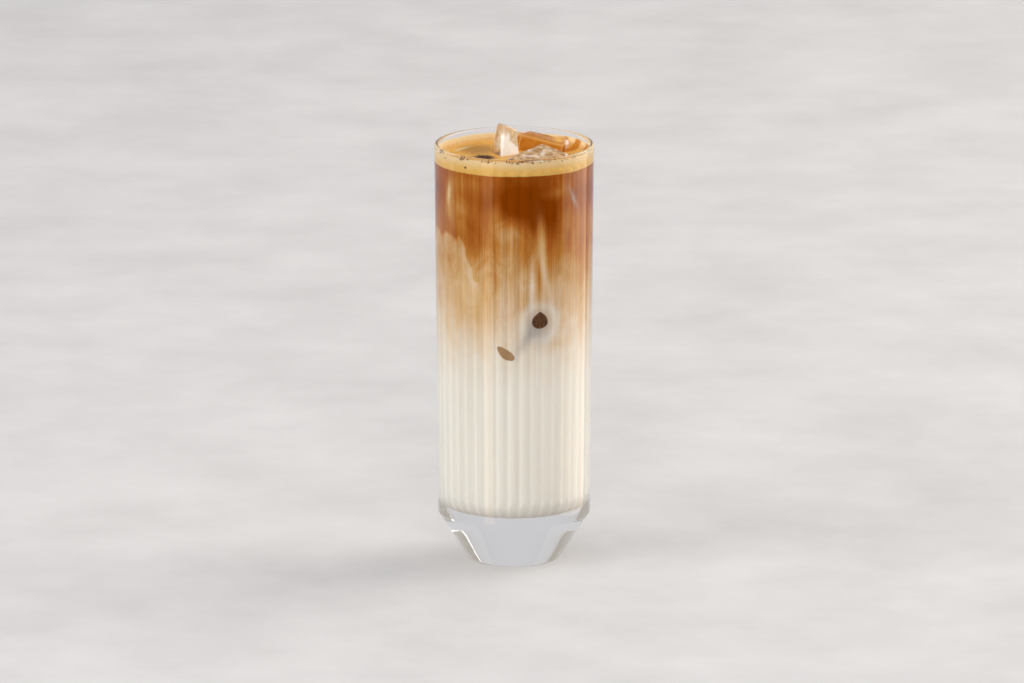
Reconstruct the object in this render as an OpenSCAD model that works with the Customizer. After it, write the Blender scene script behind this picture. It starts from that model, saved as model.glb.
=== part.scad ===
// Iced latte in a fluted highball glass: the glass, its three layers of drink,
// the crema on top and the ice that stands out of it.
// Millimetres, +Z up, +Y away from the front, origin at the centre of the glass's underside.

/* [Glass] */
// Height of the glass
glass_h = 160; // [130:1:200]
// Outer diameter at the rim
rim_d = 60; // [54:0.5:75]
// Outer diameter at the shoulder, where the wall meets the foot
shoulder_d = 57.4; // [50:0.2:75]
// Diameter of the underside, before its edge is rounded
foot_d = 34; // [26:0.5:48]
// Height of the tapered foot
foot_h = 18.2; // [12:0.2:26]
// Thickness of the glass under the drink
floor_t = 20.5; // [14:0.5:30]
// Wall thickness at the rim
rim_wall = 1.7; // [1.2:0.1:3]
// Wall thickness just above the floor
low_wall = 2.4; // [1.8:0.1:4]
// Radius of the rounded edge round the underside
foot_edge_r = 1.4; // [0.6:0.1:3]
// Radius of the rounded shoulder
shoulder_r = 1.6; // [0.6:0.1:4]
// Radius of the corner where the floor turns into the wall inside
floor_corner_r = 8; // [4:0.5:12]

/* [Flutes] */
// Number of flutes inside the wall
flute_count = 40; // [28:1:48]
// Radius of one flute's hollow
flute_r = 3.2; // [2.6:0.1:5]
// Depth of a flute in the wall
flute_depth = 0.45; // [0.2:0.05:0.8]
// Plain band between the flutes' upper ends and the rim
plain_band = 2.6; // [1.5:0.1:8]

/* [Drink] */
// Height of the brown coffee layer under the crema; the rest of the drink is milk
coffee_h = 24.4; // [23:0.2:34]
// Height of the cloudy layer in which coffee and milk mix
blend_h = 44; // [20:1:50]
// Underside of the crema below the rim
crema_drop = 6.6; // [5:0.1:12]
// Thickness of the crema away from the wall
crema_film = 1.1; // [0.6:0.1:3]
// Top of the foam that clings to the wall, below the rim
ring_drop = 1.6; // [1.4:0.1:4]
// Thickness of the foam that clings to the wall
ring_t = 1.3; // [0.8:0.1:3]
// Radius of the hollow where the crema climbs the wall
ring_hollow_r = 3.4; // [1.5:0.1:4]
// Slope of the clinging foam's upper edge, in degrees
ring_slope = 1.1; // [0:0.1:1.5]
// Clearance between the drink and the glass
fill_gap = 0.02; // [0.01:0.01:0.1]

/* [Ice] */
// Width of the standing piece at its foot
tall_foot_w = 11; // [8:0.5:13]
// Width of the standing piece at its tip
tall_tip_w = 5; // [3:0.5:8]
// Length of the standing piece
tall_len = 22; // [16:1:28]
// How far the standing piece's tip stands above the rim
tall_above_rim = 5.6; // [2:0.2:10]
// Length of the large block in front
front_len = 24.5; // [18:0.5:26]
// Width of the large block in front
front_w = 14; // [11:0.5:18]
// Height of the large block in front
front_h = 20; // [14:0.5:24]
// Top of the large block below the rim
front_drop = 1.6; // [1:0.1:5]
// Length of the clear block at the back
back_len = 19; // [12:0.5:20]
// Width of the clear block at the back
back_w = 10.5; // [7:0.5:11]
// Height of the clear block at the back
back_h = 15; // [10:0.5:20]
// Top of the clear block below the rim
back_drop = 0.6; // [0:0.1:3]
// Radius of the ice's melted edges
ice_edge_r = 1.8; // [1:0.1:2.4]
// Clearance between the ice and the drink
ice_gap = 0.03; // [0.01:0.01:0.2]
// Least distance between the ice and the wall
ice_wall_gap = 0.8; // [0.3:0.1:2]

/* [Hidden] */
$fn = 96;

OVER = 1; // how far a cutting shape reaches past what it cuts
MELT = 1.22; // width across the standing piece's melted upright edges, as a share of its width

rim_r = rim_d / 2;
mouth_z = glass_h - rim_wall / 2; // where the rim's round begins
inner_top_r = rim_r - rim_wall;
inner_low_r = shoulder_d / 2 - low_wall;
wall_slope = (inner_top_r - inner_low_r) / (mouth_z - floor_t);
crema_z = glass_h - crema_drop;
blend_top = crema_z - coffee_h;
milk_top = blend_top - blend_h;
surface_z = crema_z + crema_film;
ring_z = glass_h - ring_drop;

// Poses of the three blocks of ice: the upper face's centre, as shares of the mouth's radius and a height,
// and turns about X, Y and Z.
tall_at = [-0.09 * inner_top_r, 0.34 * inner_top_r, glass_h + tall_above_rim];
tall_turn = [-6, 8, 28];
front_at = [0.325 * inner_top_r, -0.44 * inner_top_r, glass_h - front_drop];
front_turn = [13, -4, 55];
back_at = [0.43 * inner_top_r, 0.53 * inner_top_r, glass_h - back_drop];
back_turn = [-2, 12, -19];

// Radius of the wall inside the glass at a height, between two flutes.
function inner_r(z) = inner_low_r + wall_slope * (z - floor_t);

function unit(v) = v / norm(v);
// Tangent points and centre of a round of radius r at corner p between neighbours a and b.
function half_angle(a, p, b) = acos(unit(a - p) * unit(b - p)) / 2;
function tangent_points(a, p, b, r) =
    let (reach = r / tan(half_angle(a, p, b)))
    r > 0 ? [p + unit(a - p) * reach, p + unit(b - p) * reach] : [p];
function round_centre(a, p, b, r) =
    p + unit(unit(a - p) + unit(b - p)) * r / sin(half_angle(a, p, b));

// A 2D outline whose convex corners are rounded, each by its own radius.
module rounded_outline(points, radii) {
    n = len(points);
    polygon([for (i = [0:n - 1])
        each tangent_points(points[(i + n - 1) % n], points[i], points[(i + 1) % n], radii[i])]);
    for (i = [0:n - 1])
        if (radii[i] > 0)
            translate(round_centre(points[(i + n - 1) % n], points[i], points[(i + 1) % n], radii[i]))
                circle(r = radii[i]);
}

// A round cup-shaped solid: a flat bottom, a rounded corner and a slanted wall.
module cup_solid(low_z, low_r, high_z, high_r, corner_r) {
    rotate_extrude()
        rounded_outline(
            [[0, low_z], [low_r, low_z], [high_r, high_z], [0, high_z]],
            [0, corner_r, 0, 0]);
}

// One flute: a slanted round bar whose upper end runs out in a ball.
module flute(gap) {
    tilt = atan(wall_slope);
    bottom_z = floor_t - OVER;
    top_z = glass_h - plain_band - flute_r;
    bar = (top_z - bottom_z) / cos(tilt);
    translate([inner_r(bottom_z) + flute_depth - flute_r, 0, bottom_z])
        rotate([0, tilt, 0]) {
            cylinder(r = flute_r - gap, h = bar);
            translate([0, 0, bar]) sphere(r = flute_r - gap);
        }
}

// The space inside the glass, shrunk by gap on every side, up to the height top_z.
module cavity(gap, top_z) {
    intersection() {
        union() {
            cup_solid(floor_t - OVER, inner_r(floor_t - OVER) - gap, top_z, inner_r(top_z) - gap, 0);
            for (i = [0:flute_count - 1])
                rotate([0, 0, i * 360 / flute_count]) flute(gap);
        }
        cup_solid(floor_t + gap, inner_r(floor_t) + flute_depth - gap,
            top_z, inner_r(top_z) + flute_depth, floor_corner_r);
    }
}

// The part of the drink between two heights.
module drink_layer(from_z, to_z) {
    intersection() {
        cavity(fill_gap, glass_h);
        translate([0, 0, from_z]) cylinder(r = rim_r, h = to_z - from_z);
    }
}

// The four corners of a block's side: a slanted outline hanging from the origin, grown by gap.
function side_corners(foot_w, tip_w, len_z, gap) = [
    [-foot_w / 2 - gap, -len_z - gap], [foot_w / 2 + gap, -len_z - gap],
    [tip_w / 2 + gap, gap], [-tip_w / 2 - gap, gap]];

// A bar along Y whose section is a block's side with melted edges.
module side_bar(foot_w, tip_w, len_z, reach, gap) {
    rotate([90, 0, 0])
        linear_extrude(height = reach, center = true)
            rounded_outline(side_corners(foot_w, tip_w, len_z, gap), [for (i = [0:3]) ice_edge_r + gap]);
}

// A melted block, hanging from the centre of its upper face; children are what rounds its upright edges.
module ice_block(foot, tip, len_z, gap) {
    intersection() {
        side_bar(foot[0], tip[0], len_z, 2 * foot[1], gap);
        rotate([0, 0, 90]) side_bar(foot[1], tip[1], len_z, 2 * foot[0], gap);
        children();
    }
}

// An upright bar with rounded edges, as wide and long as a block.
module upright_bar(size_xy, edge_r, len_z, gap) {
    w = size_xy[0] / 2 + gap;
    d = size_xy[1] / 2 + gap;
    translate([0, 0, -len_z - OVER])
        linear_extrude(height = len_z + 2 * OVER)
            rounded_outline([[-w, -d], [w, -d], [w, d], [-w, d]], [for (i = [0:3]) edge_r + gap]);
}

// Keeps its children off the wall: a round block longer than any ice, as wide as the glass is inside.
module within_wall(gap) {
    low_z = blend_top;
    high_z = glass_h + tall_above_rim + OVER;
    intersection() {
        cup_solid(low_z, inner_r(low_z) - ice_wall_gap + gap, high_z, inner_r(high_z) - ice_wall_gap + gap, 0);
        children();
    }
}

module tall_shape(gap) {
    within_wall(gap) translate(tall_at) rotate(tall_turn)
        ice_block([tall_foot_w, tall_foot_w], [tall_tip_w, tall_tip_w], tall_len, gap)
            intersection() {
                rotate([0, 0, 45]) side_bar(tall_foot_w * MELT, tall_tip_w * MELT, tall_len, 2 * tall_foot_w, gap);
                rotate([0, 0, 135]) side_bar(tall_foot_w * MELT, tall_tip_w * MELT, tall_len, 2 * tall_foot_w, gap);
            }
}

module front_shape(gap) {
    within_wall(gap) translate(front_at) rotate(front_turn)
        ice_block([front_len, front_w], [front_len, front_w], front_h, gap)
            upright_bar([front_len, front_w], 2 * ice_edge_r, front_h, gap);
}

module back_shape(gap) {
    within_wall(gap) translate(back_at) rotate(back_turn)
        ice_block([back_len, back_w], [back_len, back_w], back_h, gap)
            upright_bar([back_len, back_w], 2 * ice_edge_r, back_h, gap);
}

module all_ice(gap) {
    tall_shape(gap);
    front_shape(gap);
    back_shape(gap);
}

// Glass: smooth outside, fluted inside, on a thick tapered foot.
module glass() {
    color("aliceblue", 0.4) {
        difference() {
            rotate_extrude()
                rounded_outline(
                    [[0, 0], [foot_d / 2, 0], [shoulder_d / 2, foot_h], [rim_r, mouth_z], [0, mouth_z]],
                    [0, foot_edge_r, shoulder_r, 0, 0]);
            cavity(0, mouth_z);
        }
        rotate_extrude()
            translate([rim_r - rim_wall / 2, mouth_z]) circle(d = rim_wall);
    }
}

// Milk: the white layer at the bottom.
module milk() {
    color("ivory") drink_layer(floor_t - OVER, milk_top);
}

// Blend: the cloudy layer in which coffee sinks into milk.
module blend() {
    color("burlywood") drink_layer(milk_top, blend_top);
}

// Coffee: the brown layer under the crema, cut round the ice.
module coffee() {
    color("saddlebrown")
        difference() {
            drink_layer(blend_top, crema_z);
            all_ice(ice_gap);
        }
}

// Crema: a film of foam over the coffee that climbs the wall in a ring.
module crema() {
    color("tan")
        difference() {
            drink_layer(crema_z, glass_h);
            cup_solid(surface_z, inner_r(surface_z) - ring_t, glass_h + OVER, inner_top_r - ring_t, ring_hollow_r);
            translate([0, 0, ring_z]) rotate([-ring_slope, 0, 0]) cylinder(r = 2 * rim_r, h = glass_h);
            all_ice(ice_gap);
        }
}

module ice_tall() {
    color("lightcyan", 0.6) tall_shape(0);
}

module ice_front() {
    color("lightcyan", 0.6) front_shape(0);
}

module ice_back() {
    color("lightcyan", 0.6) back_shape(0);
}

glass();
milk();
blend();
coffee();
crema();
ice_tall();
ice_front();
ice_back();
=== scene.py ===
"""Looks of an iced latte in a fluted glass: milk that clouds up into coffee, crema, and pieces of ice."""

import math

import bmesh
import bpy
import numpy as np
from mathutils import Euler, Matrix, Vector


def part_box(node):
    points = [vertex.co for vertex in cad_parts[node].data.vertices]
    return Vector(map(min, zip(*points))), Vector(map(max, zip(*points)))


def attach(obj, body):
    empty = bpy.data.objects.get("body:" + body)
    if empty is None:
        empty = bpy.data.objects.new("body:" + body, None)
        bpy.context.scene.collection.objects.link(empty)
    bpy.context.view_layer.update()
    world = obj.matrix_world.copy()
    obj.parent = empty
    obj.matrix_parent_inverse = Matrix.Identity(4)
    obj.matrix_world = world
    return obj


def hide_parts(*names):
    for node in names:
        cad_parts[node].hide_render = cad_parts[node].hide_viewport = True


bl_info = {
    "name": "Iced latte in a fluted glass",
    "version": (1, 0, 0),
    "blender": (4, 5, 0),
    "location": "View3D > Sidebar > Latte",
    "description": "Builds an iced latte and a plain studio round it",
    "category": "Add Mesh",
}

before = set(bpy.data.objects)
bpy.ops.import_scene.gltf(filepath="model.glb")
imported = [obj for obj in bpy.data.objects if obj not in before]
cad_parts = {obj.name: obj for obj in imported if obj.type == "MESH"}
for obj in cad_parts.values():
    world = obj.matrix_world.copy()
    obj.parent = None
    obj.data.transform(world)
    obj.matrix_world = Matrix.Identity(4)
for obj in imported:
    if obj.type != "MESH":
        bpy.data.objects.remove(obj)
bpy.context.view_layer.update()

MM = 0.001
RIM_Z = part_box("glass")[1].z / MM
RIM_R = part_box("glass")[1].x / MM
CREMA_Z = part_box("crema")[0].z / MM
COFFEE_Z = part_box("coffee")[0].z / MM
BLEND_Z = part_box("blend")[0].z / MM
FLOOR_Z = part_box("milk")[0].z / MM

# Radius of the first ring of points round the axis, and of the ring on which the foam's waves are found.
AXIS_R = 0.5
WAVE_RING_R = 28.0
# How many columns of points a flute takes.
COLUMNS_PER_FLUTE = 12

# The bare spot in the crema, beside the standing piece of ice: its middle and its radius.
HOLE_X, HOLE_Y, HOLE_R = -11.5, -0.7, 4.4


# ---------------------------------------------------------------- properties


def size(name, description, default, low=0.0, high=500.0):
    """A length in millimetres."""
    return bpy.props.FloatProperty(name=name, description=description + ", in millimetres",
                                   default=default, min=low, max=high)


def tint(name, description, hex_colour):
    """A colour, given as an sRGB hex value."""
    return bpy.props.FloatVectorProperty(name=name, description=description, subtype="COLOR",
                                         size=4, min=0, max=1, default=linear(hex_colour))


def linear(hex_colour):
    """An sRGB hex value as linear red, green, blue and an alpha of 1."""
    channels = [int(hex_colour[i:i + 2], 16) / 255 for i in (1, 3, 5)]
    return (*(c / 12.92 if c <= 0.04045 else ((c + 0.055) / 1.055) ** 2.4 for c in channels), 1.0)


class GlassSettings(bpy.types.PropertyGroup):
    """Sizes and colour of the fluted glass."""

    shoulder_r: size("Shoulder radius", "Outer radius where the wall meets the foot", 28.7)
    foot_r: size("Foot radius", "Radius of the underside before its edge is rounded", 17.0)
    foot_h: size("Foot height", "Height of the tapered foot", 18.2)
    foot_ring: size("Foot ring", "Width of the ring that the glass stands on", 3.0)
    punt: size("Punt", "Depth of the shallow hollow inside the foot ring", 0.4, low=0.05)
    punt_ramp: size("Punt ramp", "Width of the slope from the ring up into the punt", 1.0)
    punt_edge: size("Punt edge", "Radius of the rounded edges of the punt's slope", 0.5)
    foot_edge: size("Foot edge", "Radius of the rounded edge round the underside", 1.4)
    shoulder_edge: size("Shoulder edge", "Radius of the rounded shoulder", 1.6)
    rim_wall: size("Rim wall", "Thickness of the wall at the rim", 1.7)
    low_wall: size("Low wall", "Thickness of the wall just above the floor", 2.4)
    corner: size("Floor corner", "Radius of the corner between floor and wall inside", 8.0)
    flutes: bpy.props.IntProperty(name="Flutes", description="Number of flutes inside the wall",
                                  default=40, min=12, max=80)
    flute_r: size("Flute radius", "Radius of one flute's hollow", 3.2)
    flute_depth: size("Flute depth", "Depth of a flute in the wall", 0.45)
    plain_band: size("Plain band", "Band without flutes under the rim", 2.6)
    colour: tint("Glass", "Faint tint of the clear glass", "#fdfcfd")


class DrinkSettings(bpy.types.PropertyGroup):
    """Colours of the drink from the bottom up, and how far it reaches into the wall."""

    reach: size("Reach", "How far the drink reaches into the wall, so that no gap shows", 0.15)
    milk: tint("Milk", "Whole milk at the bottom", "#fcf8ed")
    cream: tint("Cream", "Milk with a breath of coffee", "#f3e5d0")
    latte: tint("Latte", "A third coffee", "#e6c9a5")
    tan: tint("Tan", "Half milk, half coffee", "#d6ad76")
    caramel: tint("Caramel", "Coffee with some milk", "#c6873e")
    brown: tint("Brown", "Coffee with a breath of milk", "#ae6122")
    coffee: tint("Coffee", "Espresso under the crema", "#8f4202")
    gold: tint("Gold", "Cream with light through it", "#f2cd85")
    haze: tint("Haze", "Thin grey milk round sunk ice", "#bdb5ae")
    hollow: tint("Hollow", "Shade in the hollows of the flutes", "#54432f")


class CremaSettings(bpy.types.PropertyGroup):
    """Shape and colours of the crema."""

    film: size("Film", "Thickness of the crema away from the wall", 1.1)
    ring_drop: size("Ring drop", "Top of the clinging foam below the rim", 1.6)
    ring_tilt: size("Ring tilt", "How much higher the foam clings in front than on average", 0.54)
    ring_reach: size("Ring reach", "How far from the wall the foam starts to climb", 4.4)
    relief: size("Relief", "Height of the foam's small bumps", 0.07)
    # pale foam, also the colour of the painted highlight crescent at the back left
    pale: tint("Pale foam", "Fine dry foam", "#edd6ab")
    gold: tint("Golden foam", "Wet foam next to the coffee", "#e7bb66")
    deep: tint("Deep foam", "Wet foam that lies on coffee", "#c07418")
    # coffee where the foam is thin, also laid faintly over the left of the surface as painted shade
    bare: tint("Bare coffee", "Coffee where the foam is thin", "#3a1906")
    bubble_dark: tint("Dark bubble", "Thick film of a bubble", "#4a2c12")
    bubble_light: tint("Light bubble", "Thin film of a bubble", "#96683a")


class IceSettings(bpy.types.PropertyGroup):
    """Sizes and colours of the ice: clear, under foam, stained by coffee, and sunk in the drink."""

    edge: size("Edge", "Radius of the ice's melted edges", 1.7)
    wobble: size("Wobble", "Depth of the dents that melting leaves", 0.18)
    gap: size("Contact", "How far the drink reaches into the ice, so that no gap shows", 0.06)
    clear_dark: tint("Clear ice, dark", "Clear ice in its dents", "#d6b47e")
    clear_light: tint("Clear ice, light", "Clear ice between its dents", "#f3e3c6")
    # painted highlight: clear ice is lighter along its edges
    clear_edge: tint("Clear ice, edge", "Clear ice along its edges", "#fbf4ea")
    foamy_dark: tint("Foamy ice, dark", "Foamy ice in its dents", "#a3743f")
    foamy_light: tint("Foamy ice, light", "Foamy ice between its dents", "#ddb886")
    foamy_edge: tint("Foamy ice, edge", "Foamy ice along its edges", "#86582c")
    stained_dark: tint("Stained ice, dark", "Stained ice in its dents", "#b06c1c")
    stained_light: tint("Stained ice, light", "Stained ice between its dents", "#c07c2a")
    # painted highlight: stained ice is lighter along its edges
    stained_edge: tint("Stained ice, edge", "Stained ice along its edges", "#cf9650")
    glow: tint("Glow", "Light that comes yellow through stained ice", "#f0b23c")
    # white of trapped air, also the colour of painted highlights on the ice
    air_and_highlight: tint("Air", "Trapped air", "#fffdf8")
    sunk_dark: tint("Sunk ice, dark", "Drink seen darkly through sunk ice", "#3f2a1b")
    sunk_light: tint("Sunk ice, light", "Drink seen faintly through sunk ice", "#7a5438")
    sunk_cloud: tint("Sunk ice, cloudy", "Sunk ice with milk before it", "#b8946c")


class StageSettings(bpy.types.PropertyGroup):
    """The plain studio: floor, lights and camera."""

    floor: tint("Floor", "Pale floor", "#d9d7d6")
    floor_low: tint("Floor clouds", "Faint darker clouds in the floor", "#cdcbca")
    soft: tint("Soft light", "Colour of the light from all round", "#f4f4f6")
    soft_strength: bpy.props.FloatProperty(name="Soft strength", description="Strength of the soft light",
                                           default=0.70, min=0, max=10)
    distance: bpy.props.FloatProperty(name="Distance", description="Camera's distance",
                                      default=4.5, min=1, max=20, unit="LENGTH")
    elevation: bpy.props.FloatProperty(name="Elevation", description="Camera's angle above the horizon",
                                       default=math.radians(13.5), min=0, max=1.5, subtype="ANGLE")
    width: bpy.props.FloatProperty(name="View width", description="Width that the picture shows",
                                   default=0.3857, min=0.1, max=2, unit="LENGTH")


def settings():
    """The scene's own copy of all settings."""
    return bpy.context.scene.latte


class LatteSettings(bpy.types.PropertyGroup):
    """All settings of the part and its studio."""

    glass: bpy.props.PointerProperty(type=GlassSettings)
    drink: bpy.props.PointerProperty(type=DrinkSettings)
    crema: bpy.props.PointerProperty(type=CremaSettings)
    ice: bpy.props.PointerProperty(type=IceSettings)
    stage: bpy.props.PointerProperty(type=StageSettings)


# ------------------------------------------------------------------ surfaces


def waves(points, length, seed, octaves=3):
    """Smooth noise of about -1 to 1 at points: the sum of plane waves in random directions, halved in
    length and height from one octave to the next. length is the longest wave in the points' own unit."""
    rng = np.random.default_rng(seed)
    total = np.zeros(points.shape[:-1])
    for octave in range(octaves):
        for _ in range(6):
            direction = rng.normal(size=3)
            direction /= np.linalg.norm(direction)
            turns = points @ direction * (2 ** octave / length)
            total += np.sin(2 * np.pi * (turns + rng.random())) * 0.5 ** octave
    return total / 4


def smooth_step(low, high, value):
    """0 below low, 1 above high, and an S-shaped rise between."""
    t = np.clip((value - low) / (high - low), 0, 1)
    return t * t * (3 - 2 * t)


def arc_path(points, radii, steps):
    """An open path through points (radius, height) whose inner corners are rounded: each corner is replaced
    by steps points on the circle that touches both its sides."""
    path = [np.array(points[0], float)]
    for before, corner, after, radius in zip(points[:-2], points[1:-1], points[2:], radii):
        corner = np.array(corner, float)
        a = (before - corner) / np.linalg.norm(before - corner)
        b = (after - corner) / np.linalg.norm(after - corner)
        half = math.acos(np.clip(a @ b, -1, 1)) / 2
        centre = corner + (a + b) / np.linalg.norm(a + b) * radius / math.sin(half)
        start, end = corner + a * radius / math.tan(half), corner + b * radius / math.tan(half)
        sweep = math.pi - 2 * half
        for t in np.linspace(0, 1, steps):
            near = (start - centre) * math.sin((1 - t) * sweep) + (end - centre) * math.sin(t * sweep)
            path.append(centre + near / math.sin(sweep))
    path.append(np.array(points[-1], float))
    return np.array(path)


def filled_path(path, longest):
    """The same path with points added, so that no two neighbours are further apart than longest."""
    parts = []
    for a, b in zip(path[:-1], path[1:]):
        count = max(1, math.ceil(np.linalg.norm(b - a) / longest))
        parts.append(a + (b - a) * np.arange(count)[:, None] / count)
    return np.vstack(parts + [path[-1:]])


def angles(columns):
    """Angles round the glass: 0 in front, growing to the right."""
    return np.arange(columns) * 2 * np.pi / columns


def around(theta, radius, height):
    """Points at an angle round the glass, a radius and a height."""
    theta, radius, height = np.broadcast_arrays(theta, radius, height)
    return np.stack([radius * np.sin(theta), -radius * np.cos(theta), height], axis=-1)


def link_mesh(name, points, faces, smooth=True):
    """A new mesh object from points in millimetres and faces, placed by its vertices."""
    mesh = bpy.data.meshes.new(name)
    mesh.from_pydata((points * MM).tolist(), [], faces)
    mesh.shade_smooth() if smooth else mesh.shade_flat()
    mesh.update()
    piece = bpy.data.objects.new(name, mesh)
    bpy.context.scene.collection.objects.link(piece)
    return piece


def ring_faces(rows, columns):
    """Quads between the rows of closed rings of points, with a fan of triangles from a single point at each
    end: the first end's point follows the rings, and the last end's follows that."""
    i = np.arange(rows - 1)[:, None] * columns
    j = np.arange(columns)[None, :]
    k = (j + 1) % columns
    quads = np.stack([i + j, i + k, i + columns + k, i + columns + j], axis=-1).reshape(-1, 4)
    first, last = rows * columns, rows * columns + 1
    low = np.stack([np.full(columns, first), k[0], j[0]], axis=-1)
    top = (rows - 1) * columns
    high = np.stack([np.full(columns, last), top + j[0], top + k[0]], axis=-1)
    return quads.tolist() + low.tolist() + high.tolist()


def turned_piece(name, theta, radius, height):
    """A closed piece turned round the axis: radius and height are arrays of rows by angles, and both ends
    are closed at the axis. The rows run from the bottom, up the outside."""
    rows = radius.shape[0]
    points = around(theta[None, :], radius, height).reshape(-1, 3)
    ends = np.array([[0, 0, height[0].mean()], [0, 0, height[-1].mean()]])
    return link_mesh(name, np.vstack([points, ends]), ring_faces(rows, len(theta)))


def inner_radius(theta, z):
    """Radius of the fluted wall inside: the larger of a slanted plain wall and of the flutes. A flute is a
    slanted round bar that ends in a ball: at an angle a from its middle its surface lies at
    c cos a + sqrt(f^2 - c^2 sin^2 a), with c its middle's distance from the axis and f its radius there."""
    s = settings().glass
    mouth_z = RIM_Z - s.rim_wall / 2
    top_r, low_r = RIM_R - s.rim_wall, s.shoulder_r - s.low_wall
    slope = (top_r - low_r) / (mouth_z - FLOOR_Z)
    plain = low_r + slope * (z - FLOOR_Z)
    end_z = RIM_Z - s.plain_band - s.flute_r
    middle = low_r + slope * (np.minimum(z, end_z) - FLOOR_Z) + s.flute_depth - s.flute_r
    bar = np.sqrt(np.maximum(s.flute_r ** 2 - np.maximum(z - end_z, 0) ** 2, 0))
    pitch = 2 * np.pi / s.flutes
    # a flute's middle lies on the +X axis
    off = (theta - np.pi / 2 + pitch / 2) % pitch - pitch / 2
    under = bar ** 2 - (middle * np.sin(off)) ** 2
    flute = np.where(under > 0, middle * np.cos(off) + np.sqrt(np.maximum(under, 0)), 0)
    return np.maximum(plain, flute)


def cavity_rows(top_z, reach, spacing):
    """Rows (radius, height) up the inside of the glass, from the floor's middle to top_z: a flat floor, a
    round corner and a slanted wall, all moved outwards by reach."""
    s = settings().glass
    slope = (RIM_R - s.rim_wall - s.shoulder_r + s.low_wall) / (RIM_Z - s.rim_wall / 2 - FLOOR_Z)
    middle = np.array([AXIS_R, FLOOR_Z - reach])
    corner = np.array([s.shoulder_r - s.low_wall + s.flute_depth + reach, FLOOR_Z - reach])
    mouth = corner + np.array([slope, 1]) * (top_z - FLOOR_Z + reach)
    return filled_path(arc_path([middle, corner, mouth], [s.corner], steps=12), spacing)


def fluted_wall(theta, rows, reach):
    """Radii of the inside's rows at all angles: the round cup's own radius, or the fluted wall where that
    is narrower."""
    wall = inner_radius(theta[None, :], rows[:, 1:2]) + reach
    return np.minimum(rows[:, :1] + 0 * wall, wall)


def soft_block(half, edge, taper, slope, turn, seed, wobble, cells=40):
    """A melted block of ice: a cube's faces as grids, finer towards their edges, each point c pulled to
    the rounded block q + edge (c - q)/|c - q|, where q is c held within the half sizes less edge. taper
    narrows it upwards, slope slants its top down to the right, turn tilts it about X, Y and Z, and waves
    dent it."""
    t = np.linspace(-1, 1, cells + 1)
    t = np.sign(t) * (1 - (1 - np.abs(t)) ** 1.6)
    u, v = np.meshgrid(t, t, indexing="ij")
    one = np.ones_like(u)
    sides = [(u, v, one), (v, u, -one), (one, u, v), (-one, v, u), (v, one, u), (u, -one, v)]
    cube = np.stack([np.stack(side, axis=-1).reshape(-1, 3) for side in sides])
    c = cube.reshape(-1, 3) * half
    q = np.clip(c, edge - half, half - edge)
    away = (c - q) / np.maximum(np.linalg.norm(c - q, axis=1, keepdims=True), 1e-9)
    p = q + edge * away
    rise = (p[:, 2:3] / half[2] + 1) / 2
    p[:, :2] *= 1 - taper * rise
    p += wobble * waves(p, half.max() * 1.3, seed, 3)[:, None] * away
    p = p @ np.array(Euler([math.radians(a) for a in turn]).to_matrix()).T
    p[:, 2:3] -= slope * p[:, :1] * rise ** 2
    n = cells + 1
    i, j = np.meshgrid(np.arange(cells), np.arange(cells), indexing="ij")
    quads = np.stack([i * n + j, (i + 1) * n + j, (i + 1) * n + j + 1, i * n + j + 1], axis=-1)
    faces = np.vstack([quads.reshape(-1, 4) + side * n * n for side in range(6)])
    return p, faces


def merge_seams(piece, distance=1e-6):
    """Joins vertices that lie in the same place and turns all faces outwards."""
    mesh = bmesh.new()
    mesh.from_mesh(piece.data)
    bmesh.ops.remove_doubles(mesh, verts=mesh.verts, dist=distance)
    bmesh.ops.recalc_face_normals(mesh, faces=mesh.faces)
    mesh.to_mesh(piece.data)
    mesh.free()
    piece.data.shade_smooth()
    return piece


def fitted(points, node):
    """Points moved so that their box has a CAD node's middle, and scaled down if it is larger."""
    low, high = (np.array(corner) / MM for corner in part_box(node))
    middle, span = (points.min(0) + points.max(0)) / 2, points.max(0) - points.min(0)
    return (points - middle) * np.minimum(1, (high - low) / span).min() + (low + high) / 2


def cut(piece, cutters):
    """Takes closed cutters out of a closed piece, with the change applied to its mesh."""
    for cutter in cutters:
        modifier = piece.modifiers.new("cut", "BOOLEAN")
        modifier.operation = "DIFFERENCE"
        modifier.solver = "EXACT"
        modifier.object = cutter
    bpy.context.view_layer.update()
    graph = bpy.context.evaluated_depsgraph_get()
    mesh = bpy.data.meshes.new_from_object(piece.evaluated_get(graph))
    piece.modifiers.clear()
    old, piece.data = piece.data, mesh
    mesh.name = old.name
    bpy.data.meshes.remove(old)
    piece.data.shade_smooth()
    piece.data.set_sharp_from_angle(angle=math.radians(50))
    return piece


def vertices(piece):
    """All vertex positions of a piece, in millimetres."""
    co = np.empty(len(piece.data.vertices) * 3, np.float32)
    piece.data.vertices.foreach_get("co", co)
    return co.reshape(-1, 3).astype(float) / MM


def store(piece, name, values):
    """Stores one number a vertex under a name that materials read."""
    attribute = piece.data.attributes.new(name, "FLOAT", "POINT")
    attribute.data.foreach_set("value", np.asarray(values, np.float32))


# ----------------------------------------------------------------- materials


def add_node(tree, kind, inputs=None, stops=(), **properties):
    """Adds a shader node. inputs fills its sockets: an output is linked to its socket, and anything else is
    the socket's plain value. stops are the (position, colour) pairs of a colour ramp."""
    node = tree.nodes.new(kind)
    for key, value in properties.items():
        setattr(node, key, value)
    for key, value in (inputs or {}).items():
        if isinstance(value, bpy.types.NodeSocket):
            tree.links.new(value, node.inputs[key])
        else:
            node.inputs[key].default_value = value
    if stops:
        elements = node.color_ramp.elements
        while len(elements) < len(stops):
            elements.new(0.5)
        for element, (position, colour) in zip(elements, stops):
            element.position = position
            element.color = colour
    return node


def new_material(name):
    """A new material and its empty node tree."""
    material = bpy.data.materials.new(name)
    material.use_nodes = True
    material.node_tree.nodes.clear()
    return material, material.node_tree


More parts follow.
